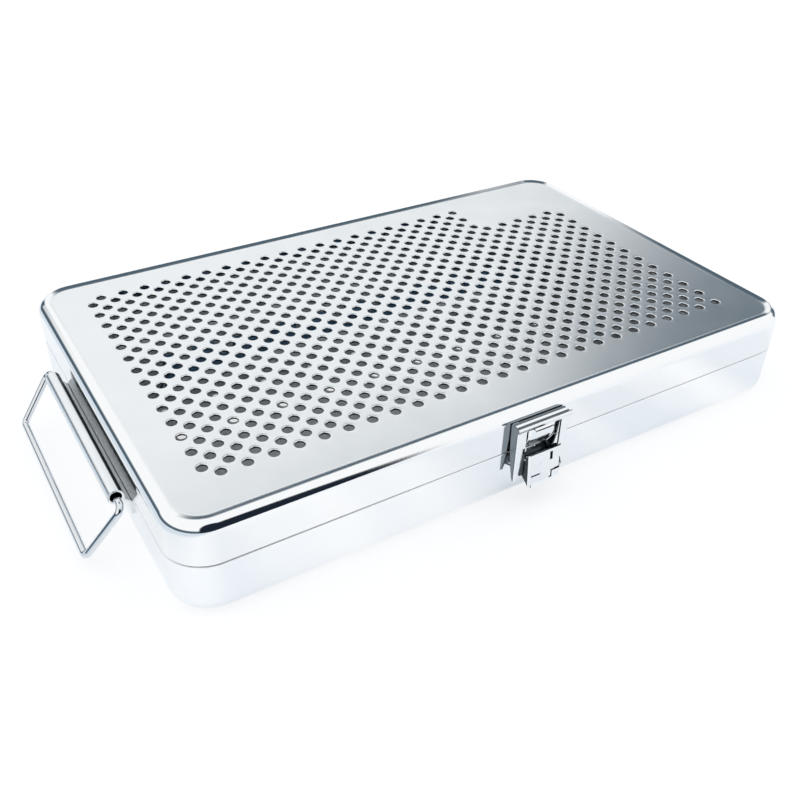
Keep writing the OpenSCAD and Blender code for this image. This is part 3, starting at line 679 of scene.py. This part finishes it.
def make_lever():
    """Channel cut to its side profile, with the raised figure lanced along its right and lower
    edges and the foot flared for the finger."""
    along = (0, -sin(LEAN), -cos(LEAN))
    normal = (0, -cos(LEAN), sin(LEAN))
    top = (0, -HALF_W - LEVER_OUT, LEVER_Z)
    middle = Vector(top) + Vector(along) * LEVER_H / 2
    bm = bmesh.new()
    extruded(bm, channel(LEVER_W / 2, 1.15, 8), LEVER_H, stand(middle, (1, 0, 0), normal, along))
    side = ([on_lever(-0.5, 0.5), on_lever(-0.5, -0.6), on_lever(0.3, -1.2)]
            + arc(PIVOT[0], PIVOT[1], 1.75, 62, 160, 10) + arc(LINK[0], LINK[1], 1.7, 165, 262, 12)
            + [on_lever(LEVER_H - 1.4, -1.6), on_lever(LEVER_H - 0.3, -0.7), on_lever(LEVER_H + 0.5, -0.4),
               on_lever(LEVER_H + 0.5, 0.5)])
    profile = bmesh.new()
    extruded(profile, side, LEVER_W + 2, on_front())
    bm = cut(bm, profile, "INTERSECT")
    w, h, a = FIGURE_W / 2, FIGURE_H / 2, FIGURE_ARM / 2
    slits = [[(a, a + 0.3), (a + 1.5, a + 0.3), (a + 1.5, h), (a, h)],
             [(-w, -a - SLIT), (-a - 0.4, -a - SLIT), (-a - 0.4, -a), (-w, -a)],
             [(w, a), (w, -a), (a, -a), (a, -h), (-a + 0.3, -h), (-a + 0.3, -h - SLIT), (a + 1.6, -h - SLIT),
              (a + 1.6, -a - 1.3), (w + SLIT, -a - 1.3), (w + SLIT, a)]]
    on_face = stand(middle, (1, 0, 0), (0, sin(LEAN), cos(LEAN)), normal)
    lance = bmesh.new()
    for slit in slits:
        extruded(lance, slit, 4, on_face)
    bm = cut(bm, lance)
    figure = [(-a, -h), (a, -h), (a, -a), (w, -a), (w, a), (a, a),
              (a, h), (-a, h), (-a, a), (-w, a), (-w, -a), (-a, -a)]
    figure_at = on_face.copy()
    figure_at.translation += Vector(normal) * (FIGURE_T / 2 - 0.01)
    extruded(bm, figure, FIGURE_T, figure_at)
    foot = [on_lever(LEVER_H - 1.1, 0.01), on_lever(LEVER_H - 1.1, -FITTING_T - 0.01),
            on_lever(LEVER_H - 0.4, -FITTING_T + 0.05), on_lever(LEVER_H + 0.2, -0.35),
            on_lever(LEVER_H + 0.4, 0.1), on_lever(LEVER_H + 0.2, 0.4), on_lever(LEVER_H - 0.3, 0.25)]
    extruded(bm, foot, LEVER_W - 2.4, on_front())
    front = Vector(normal)

    # Painted shade: the sides, back and slit walls behind the face get the dark steel, for the shade in and
    # behind the channel.
    def behind_face(c, n):
        return n.dot(front) < 0.35 and (c - Vector(top)).dot(front) < -0.1

    finish_piece("latch_lever_pressed", bm, "lever", "fittings", ["latch_lever"], bevel=0.12,
                 others=[(PAINTED_SHADE_STEEL, behind_face)])


def make_hasp():
    """Channel cut to its side profile and opened for the keeper, with the bar and its flared lip
    over the keeper and a lug on each arm for the link pin."""
    bm = bmesh.new()
    high = BAR_Z + FITTING_T
    extruded(bm, channel(HASP_W / 2, 1.0, 4.1), high - HASP_LOW,
             stand((0, -HALF_W - HASP_OUT, (high + HASP_LOW) / 2), (1, 0, 0), (0, -1, 0), (0, 0, 1)))
    side = [(6, high - 0.1), (0.5, high - 0.1), (0.5, BAR_Z - 6), (1.3, BASE_H - 2), (2.4, HASP_LOW + 4.6),
            (3.2, HASP_LOW + 1.6), (3.9, HASP_LOW + 0.4), (6, HASP_LOW - 1)]
    profile = bmesh.new()
    extruded(profile, side, HASP_W + 2, on_front())
    bm = cut(bm, profile, "INTERSECT")
    tip = HASP_W / 2 - 1.3
    window = bmesh.new()
    opening = ([(tip, HASP_LOW - 1), (tip, HASP_LOW + 0.8), (ARM_IN + 0.3, BASE_H - 2.4), (ARM_IN, BASE_H - 1)]
               + arc(ARM_IN - 0.8, BAR_Z - 0.8, 0.8, 0, 90, 4)
               + arc(-ARM_IN + 0.8, BAR_Z - 0.8, 0.8, 90, 180, 4)
               + [(-ARM_IN, BASE_H - 1), (-ARM_IN - 0.3, BASE_H - 2.4),
                  (-tip, HASP_LOW + 0.8), (-tip, HASP_LOW - 1)])
    extruded(window, opening, 4, stand((0, -HALF_W - HASP_OUT, 0), (1, 0, 0), (0, 0, 1), (0, -1, 0)))
    bm = cut(bm, window)
    bead = HASP_OUT - 2.5
    bar = [(0.5, BAR_Z), (HASP_OUT - 0.4, BAR_Z), (HASP_OUT - 0.4, high - 0.02), (bead + 1.0, high),
           (bead + 0.45, high + 0.42), (bead + 0.1, high + 0.42), (bead - 0.2, high), (0.5, high)]
    extruded(bm, bar, HASP_W - 0.7, on_front())
    lip = [(HASP_OUT - 0.6, BAR_Z + 0.1), (HASP_OUT - 0.1, BAR_Z - 0.2), (HASP_OUT - 0.06, BAR_Z - 0.9),
           (HASP_OUT + 0.45, BAR_Z - 1.0), (HASP_OUT + 0.7, BAR_Z - 0.3), (HASP_OUT + 1.0, BAR_Z + 0.3),
           (HASP_OUT + 1.25, BAR_Z + 0.9), (HASP_OUT + 1.2, BAR_Z + 1.4), (HASP_OUT + 0.8, BAR_Z + 1.6),
           (HASP_OUT + 0.2, BAR_Z + 1.15), (HASP_OUT - 0.6, high + 0.03)]
    extruded(bm, lip, HASP_W + 1.4, on_front())
    lug = ([(HASP_OUT - 0.05, BASE_H - 2.6)] + arc(LINK[0], LINK[1], 1.65, 120, 250, 14)
           + [(HASP_OUT - 0.4, HASP_LOW + 1.6), (HASP_OUT - 0.05, HASP_LOW + 2.4)])
    for side in (-1, 1):
        extruded(bm, lug, FITTING_T, on_front(side * (ARM_IN + FITTING_T / 2)))

    # Painted shade: the bar's upward faces beside the bead get the slate steel, for the dark they mirror.
    def stripe(c, n):
        out = -HALF_W - c.y
        return c.z > high - 0.2 and n.z > 0.25 and out < HASP_OUT + 0.75 and not bead - 0.3 < out < bead + 0.9

    # Painted shade: below the bar every face not turned outwards gets the dark steel, for the shade between
    # hasp, keeper and wall.
    def edge_or_back(c, n):
        return c.z <= high - 0.2 and n.y > -0.6

    # Painted shade: the outer side flanges get the slate steel, darker for the shade on them and the dark they
    # mirror.
    def flange(c, n):
        return abs(n.x) > 0.95 and abs(c.x) > HASP_W / 2 - 0.3

    finish_piece("latch_hasp_pressed", bm, "hasp", "fittings", ["latch_hasp"], bevel=0.08,
                 others=[(PAINTED_SHADE_STEEL, edge_or_back), (PAINTED_SLATE_STEEL, stripe), (PAINTED_SLATE_STEEL, flange)])


def make_keeper():
    """Plate with a pressed dome: its outline is drawn out in stages that close on a level crease."""
    bm = bmesh.new()
    plate = [(-DOME_W / 2 - 0.4, DOME_LOW - 0.4), (DOME_W / 2 + 0.4, DOME_LOW - 0.4),
             (DOME_W / 2 + 0.4, DOME_TOP - 0.2), (-DOME_W / 2 - 0.4, DOME_TOP - 0.2)]
    extruded(bm, plate, 0.6, stand((0, -HALF_W - 0.3, 0), (1, 0, 0), (0, 0, 1), (0, -1, 0)))
    half, r = DOME_W / 2, 5.0
    ring = (arc(-half + r, DOME_LOW + r, r, 180, 270, 10) + arc(half - r, DOME_LOW + r, r, 270, 360, 10)
            + arc(half - 1, DOME_TOP - 1, 1, 0, 90, 4) + arc(-half + 1, DOME_TOP - 1, 1, 90, 180, 4))
    verts, edges = line(bm, [(x, -HALF_W - 0.5, z) for x, z in ring])
    edges.append(bm.edges.new((verts[-1], verts[0])))
    crease = Vector((0, 0, CREASE_Z))
    # each stage as (outwards, width, height), the last two as shares of the outline's
    stages = [(1.6, 1.0, 1.0), (2.6, 0.985, 0.965), (3.4, 0.93, 0.87), (4.0, 0.84, 0.7), (4.4, 0.74, 0.5),
              (4.7, 0.66, 0.28), (DOME_OUT, 0.6, 0.06), (DOME_OUT - 0.7, 0.58, 0.05)]
    wide, high, out = 1.0, 1.0, 0.5
    for to_out, to_wide, to_high in stages:
        drawn = bmesh.ops.extrude_edge_only(bm, edges=edges)["geom"]
        verts = verts_of(drawn)
        edges = [e for e in edges_of(drawn) if e.is_boundary]
        bmesh.ops.scale(bm, vec=(to_wide / wide, 1, to_high / high), verts=verts,
                        space=Matrix.Translation(-crease))
        bmesh.ops.translate(bm, vec=(0, out - to_out, 0), verts=verts)
        wide, high, out = to_wide, to_high, to_out
    bmesh.ops.contextual_create(bm, geom=edges)

    # Painted shade: the plate, the dome's root by the wall and the level crease faces get the dark steel, for
    # the shade there.
    def root_or_crease(c, n):
        return c.y > -HALF_W - 1.2 or (abs(c.z - CREASE_Z) < 0.35 and abs(n.z) > 0.9)

    finish_piece("latch_keeper_pressed", bm, "lid", "fittings", ["latch_keeper"], sharp=30,
                 others=[(PAINTED_SHADE_STEEL, root_or_crease)])


def make_latch_bracket():
    """Plate riveted to the tray's wall, with an ear on each side for the pivot."""
    ear_out = LEVER_W / 2 - FITTING_T - SIDE_GAP
    top = PIVOT[1] - 1.8
    low = BASE_H - 14
    rivets = [(side * (ear_out - FITTING_T) / 2, BASE_H - 11.5) for side in (-1, 1)]
    soft = 1.0
    plate = ([(ear_out, top), (-ear_out, top)] + arc(-ear_out + soft, low + soft, soft, 180, 270, 5)
             + arc(ear_out - soft, low + soft, soft, 270, 360, 5))
    bm = bmesh.new()
    extruded(bm, plate, FITTING_T, stand((0, -HALF_W - FITTING_T / 2, 0), (1, 0, 0), (0, 0, 1), (0, -1, 0)),
             [arc(x, z, 1.25, 0, 345, 23) for x, z in rivets])
    boss = PIVOT[0], PIVOT[1], 0.8 + FITTING_T
    ear = ([(FITTING_T / 2, LINK[1] + 1.75), (FITTING_T, LINK[1] + 1.75)] + arc(*boss, -40, 115, 14)
           + [(FITTING_T / 2, top)])
    bore = arc(PIVOT[0], PIVOT[1], 0.82, 0, 345, 23)
    for side in (-1, 1):
        extruded(bm, ear, FITTING_T, on_front(side * (ear_out - FITTING_T / 2)), [bore])
    # Painted shade: the whole bracket is the dark steel, for the shade under the lever.
    finish_piece("latch_bracket_pressed", bm, "base", "fittings", ["latch_bracket"], PAINTED_SHADE_STEEL,
                 bevel=0.1)
    bm = bmesh.new()
    t = FITTING_T
    for x, z in rivets:
        profile = [(0, -SHEET_T - 0.7), (1.3, -SHEET_T - 0.66), (2.0, -SHEET_T - 0.4), (2.2, -SHEET_T),
                   (1.19, -SHEET_T), (1.19, t), (2.2, t), (2.1, t + 0.35), (1.6, t + 0.7),
                   (0.8, t + 0.87), (0, t + 0.9)]
        turned(bm, profile, stand((x, -HALF_W, z), (1, 0, 0), (0, 0, 1), (0, -1, 0)), 24)
    finish_piece("latch_rivets_peened", bm, "base", "pins", ["latch_rivets"])


# -------------------------------------------------------------------- racks

COMB_HALF = 100.0
COMB_T = 7.0
COMB_H = 13.0
COMB_Z = 2 * SHEET_T - 0.1
CHANNEL_H = 4.0
FOOT_L = 10.0
SLOTS = 10
SLOT_PITCH = 20.0
SLOT_R = 4.5
SLOT_Z = 11.7


def make_racks():
    """Channels with feet, riveted to the tray's floor, and the combs of silicone pressed into them."""
    for end, y in (("front", -RACK_Y), ("back", RACK_Y)):
        t = FITTING_T
        half = COMB_T / 2
        r = 0.9
        section = ([(half + t, SHEET_T + t + CHANNEL_H)] + arc(half + t - r, SHEET_T + r, r, 0, -90, 5)
                   + arc(-half - t + r, SHEET_T + r, r, -90, -180, 5) + [(-half - t, SHEET_T + t + CHANNEL_H)]
                   + [(-half, SHEET_T + t + CHANNEL_H), (-half, SHEET_T + t), (half, SHEET_T + t),
                      (half, SHEET_T + t + CHANNEL_H)])
        bm = bmesh.new()
        extruded(bm, section, 2 * COMB_HALF, stand((0, y, 0), (0, 1, 0), (0, 0, 1), (1, 0, 0)))
        for side in (-1, 1):
            soft = 1.6
            wide = half + t
            foot = ([(-1, -wide + 0.4), (FOOT_L - soft, -wide + 0.4)]
                    + arc(FOOT_L - soft, -wide + 0.4 + soft, soft, -90, 0, 6)[1:]
                    + arc(FOOT_L - soft, wide - 0.4 - soft, soft, 0, 90, 6) + [(-1, wide - 0.4)])
            extruded(bm, foot, t, stand((side * COMB_HALF, y, SHEET_T + t / 2),
                                        (side, 0, 0), (0, 1, 0), (0, 0, 1)),
                     [arc(FOOT_X - COMB_HALF, 0, RIVET_R + 0.05, 0, 345, 23)])
        finish_piece("rack_channel_" + end + "_folded", bm, "base", "fittings", ["rack_channel_" + end],
                     bevel=0.12)
        outline = [(-COMB_HALF, COMB_Z), (COMB_HALF, COMB_Z), (COMB_HALF, COMB_Z + COMB_H)]
        for i in reversed(range(SLOTS)):
            x = (i - (SLOTS - 1) / 2) * SLOT_PITCH
            outline += [(x + SLOT_R, COMB_Z + COMB_H)] + arc(x, SLOT_Z, SLOT_R, 0, -180, 16)
            outline += [(x - SLOT_R, COMB_Z + COMB_H)]
        outline += [(-COMB_HALF, COMB_Z + COMB_H)]
        bm = bmesh.new()
        extruded(bm, outline, COMB_T, stand((0, y, 0), (1, 0, 0), (0, 0, 1), (0, -1, 0)))
        finish_piece("rack_comb_" + end + "_moulded", bm, "base", "silicone", ["rack_comb_" + end],
                     bevel=0.5)
    bm = bmesh.new()
    top = SHEET_T + FITTING_T
    for x in (-FOOT_X, FOOT_X):
        for y in (-RACK_Y, RACK_Y):
            profile = [(0, 0), (RIVET_R - 0.1, 0), (RIVET_R, 0.1), (RIVET_R, top), (2.8, top),
                       (2.75, top + 0.3), (2.2, top + 0.65), (1.2, top + 0.86), (0, top + 0.9)]
            turned(bm, profile, Matrix.Translation((x, y, 0)), 24)
    finish_piece("rack_rivets_peened", bm, "base", "pins", ["rack_rivets"])


make_lid()
make_tray()
for side, end in ((-1, "left"), (1, "right")):
    make_handle_bracket("handle_bracket_" + end, side)
    make_bail("bail_" + end, "bail_" + end + "_body", side)
make_hinge_leaves()
make_pins()
make_latch_bracket()
make_lever()
make_hasp()
make_keeper()
make_racks()


# -------------------------------------------------------------------- stage

# Shares of the paper's white that glow and that are lit, as the camera and as reflections see it.
PAPER_GLOW = (0.66, 0.54)
PAPER_LIT = (0.53, 0.7)

# Parts of the room, as (azimuth, elevation, inner angle, outer angle, squash), in degrees.
DARK_PANELS = ((60, 32, 6, 18.5), (25, 60, 10, 18), (40, 50, 7, 12))
WINDOW = (125, 4, 27, 33, 0.4)
ROOM_BEHIND = (182, 20, 26, 30, 0.5)
SKY = (0.985, 0.995, 1.0, 1)
SLATE = (0.085, 0.125, 0.16, 1)
BLACK_NAVY = (0.012, 0.018, 0.03, 1)


def make_floor():
    """Plain white sweep. The camera and reflections see it near white, and it keeps the shadow. Only in
    reflections it carries painted shade: faint streaks and a greyer tint at the left, for the walls to mirror."""
    bm = bmesh.new()
    bmesh.ops.create_circle(bm, cap_ends=True, segments=64, radius=2.5)
    mesh = bpy.data.meshes.new("floor")
    bm.to_mesh(mesh)
    bm.free()
    floor = bpy.data.objects.new("floor", mesh)
    bpy.context.scene.collection.objects.link(floor)
    mat = bpy.data.materials.new("white_paper")
    mat.use_nodes = True
    tree = mat.node_tree
    tree.nodes.clear()
    place = add(tree, "ShaderNodeTexCoord").outputs["Object"]
    ray = add(tree, "ShaderNodeLightPath")
    mirror_ray = ray.outputs["Is Glossy Ray"]
    seen = add(tree, "ShaderNodeMath", {0: ray.outputs["Is Camera Ray"], 1: mirror_ray},
               operation="MAXIMUM").outputs[0]
    # Painted shade for reflections only: stretched noise streaks and a greyer left side tint what glossy rays
    # see.
    painted_streak_place = add(tree, "ShaderNodeMapping", {"Vector": place, "Scale": (1, 0.12, 1)}).outputs[0]
    cloud = add(tree, "ShaderNodeTexNoise", {"Vector": painted_streak_place, "Scale": 1 / 0.05, "Detail": 1.0}).outputs["Fac"]
    shade = add(tree, "ShaderNodeMapRange", {
        "Value": cloud, "From Min": 0.35, "From Max": 0.65}).outputs["Result"]
    along = add(tree, "ShaderNodeSeparateXYZ", {0: place}).outputs["X"]
    left = add(tree, "ShaderNodeMapRange", {
        "Value": along, "From Min": -0.15, "From Max": -0.22, "To Max": 2.2}).outputs["Result"]
    shade = add(tree, "ShaderNodeMath", {0: shade, 1: left}, operation="MAXIMUM").outputs[0]
    mirrored = add(tree, "ShaderNodeMath", {0: shade, 1: mirror_ray}, operation="MULTIPLY").outputs[0]
    colour = add(tree, "ShaderNodeMix", {0: mirrored, 6: linear("#ffffff"), 7: linear("#dce3ea")},
                 data_type="RGBA", clamp_factor=False).outputs[2]
    glow = add(tree, "ShaderNodeMix", {0: mirror_ray, 2: PAPER_GLOW[0], 3: PAPER_GLOW[1]}).outputs[0]
    glow = add(tree, "ShaderNodeMath", {0: seen, 1: glow}, operation="MULTIPLY").outputs[0]
    matt = add(tree, "ShaderNodeMix", {0: mirror_ray, 2: PAPER_LIT[0], 3: PAPER_LIT[1]}).outputs[0]
    matt = add(tree, "ShaderNodeMix", {0: seen, 2: 1.0, 3: matt}).outputs[0]
    dim = add(tree, "ShaderNodeMix", {0: matt, 6: linear("#000000"), 7: linear("#f6f7f8")},
              data_type="RGBA").outputs[2]
    paper = add(tree, "ShaderNodeBsdfDiffuse", {"Color": dim}).outputs[0]
    lit = add(tree, "ShaderNodeEmission", {"Color": colour, "Strength": glow}).outputs[0]
    both = add(tree, "ShaderNodeAddShader", {0: paper, 1: lit}).outputs[0]
    add(tree, "ShaderNodeOutputMaterial", {"Surface": both})
    mesh.materials.append(mat)


def toward(azimuth, elevation):
    """Direction at an azimuth from +Y towards +X and an elevation, in degrees."""
    a, e = radians(azimuth), radians(elevation)
    return (sin(a) * cos(e), cos(a) * cos(e), sin(e))


def make_world():
    """White studio with the dark parts of the room: a low strip round the horizon that a window
    breaks, dark panels at the back right and the side behind the camera."""
    world = bpy.data.worlds.new("studio")
    bpy.context.scene.world = world
    world.use_nodes = True
    tree = world.node_tree
    tree.nodes.clear()
    look = add(tree, "ShaderNodeTexCoord").outputs["Generated"]
    height = add(tree, "ShaderNodeSeparateXYZ", {0: look}).outputs["Z"]

    def soft(value, low, high, start, end):
        return add(tree, "ShaderNodeMapRange", {
            "Value": value, "From Min": low, "From Max": high, "To Min": start, "To Max": end},
            interpolation_type="SMOOTHSTEP").outputs["Result"]

    def product(a, b):
        return add(tree, "ShaderNodeMath", {0: a, 1: b}, operation="MULTIPLY").outputs[0]

    def spot(azimuth, elevation, inner, outer, squash=1.0):
        """Soft round patch: 1 inside the inner angle, 0 outside the outer one."""
        flat = add(tree, "ShaderNodeVectorMath", {0: look, 1: (1, 1, squash)}, operation="MULTIPLY").outputs[0]
        unit = add(tree, "ShaderNodeVectorMath", {0: flat}, operation="NORMALIZE").outputs[0]
        x, y, z = toward(azimuth, elevation)
        axis = Vector((x, y, z * squash)).normalized()
        near = add(tree, "ShaderNodeVectorMath", {0: unit, 1: axis},
                   operation="DOT_PRODUCT").outputs["Value"]
        return soft(near, cos(radians(outer)), cos(radians(inner)), 0, 1)

    low_strip = product(soft(height, 0.21, 0.33, 1, 0), soft(height, -0.05, -0.01, 0, 1))
    window = add(tree, "ShaderNodeMath", {0: 1.0, 1: spot(*WINDOW)}, operation="SUBTRACT").outputs[0]
    room = product(low_strip, window)
    for zone in DARK_PANELS:
        room = add(tree, "ShaderNodeMath", {0: room, 1: spot(*zone)}, operation="MAXIMUM").outputs[0]
    studio = add(tree, "ShaderNodeMix", {0: room, 6: SKY, 7: SLATE}, data_type="RGBA").outputs[2]
    studio = add(tree, "ShaderNodeMix", {0: spot(*ROOM_BEHIND), 6: studio, 7: BLACK_NAVY},
                 data_type="RGBA").outputs[2]
    ray = add(tree, "ShaderNodeLightPath").outputs["Is Camera Ray"]
    colour = add(tree, "ShaderNodeMix", {0: ray, 6: studio, 7: (1, 1, 1, 1)}, data_type="RGBA").outputs[2]
    sky = add(tree, "ShaderNodeBackground", {"Color": colour, "Strength": 1.0})
    add(tree, "ShaderNodeOutputWorld", {"Surface": sky.outputs[0]})


def make_camera():
    """Camera solved from the lattice of lid holes; the picture is square."""
    lens = bpy.data.cameras.new("camera")
    lens.sensor_width = 36
    lens.lens = 41.208
    lens.clip_start = 0.01
    camera = bpy.data.objects.new("camera", lens)
    bpy.context.scene.collection.objects.link(camera)
    right = Vector((0.854425, -0.519275, 0.017647))
    down = Vector((-0.288457, -0.502334, -0.815140))
    forward = Vector((0.432147, 0.691386, -0.578995))
    camera.matrix_world = stand(Vector((-193.090, -301.681, 241.963)) * MM, right, -down, -forward)
    bpy.context.scene.camera = camera


make_floor()
make_world()
make_camera()
bpy.context.scene.view_settings.view_transform = "Standard"
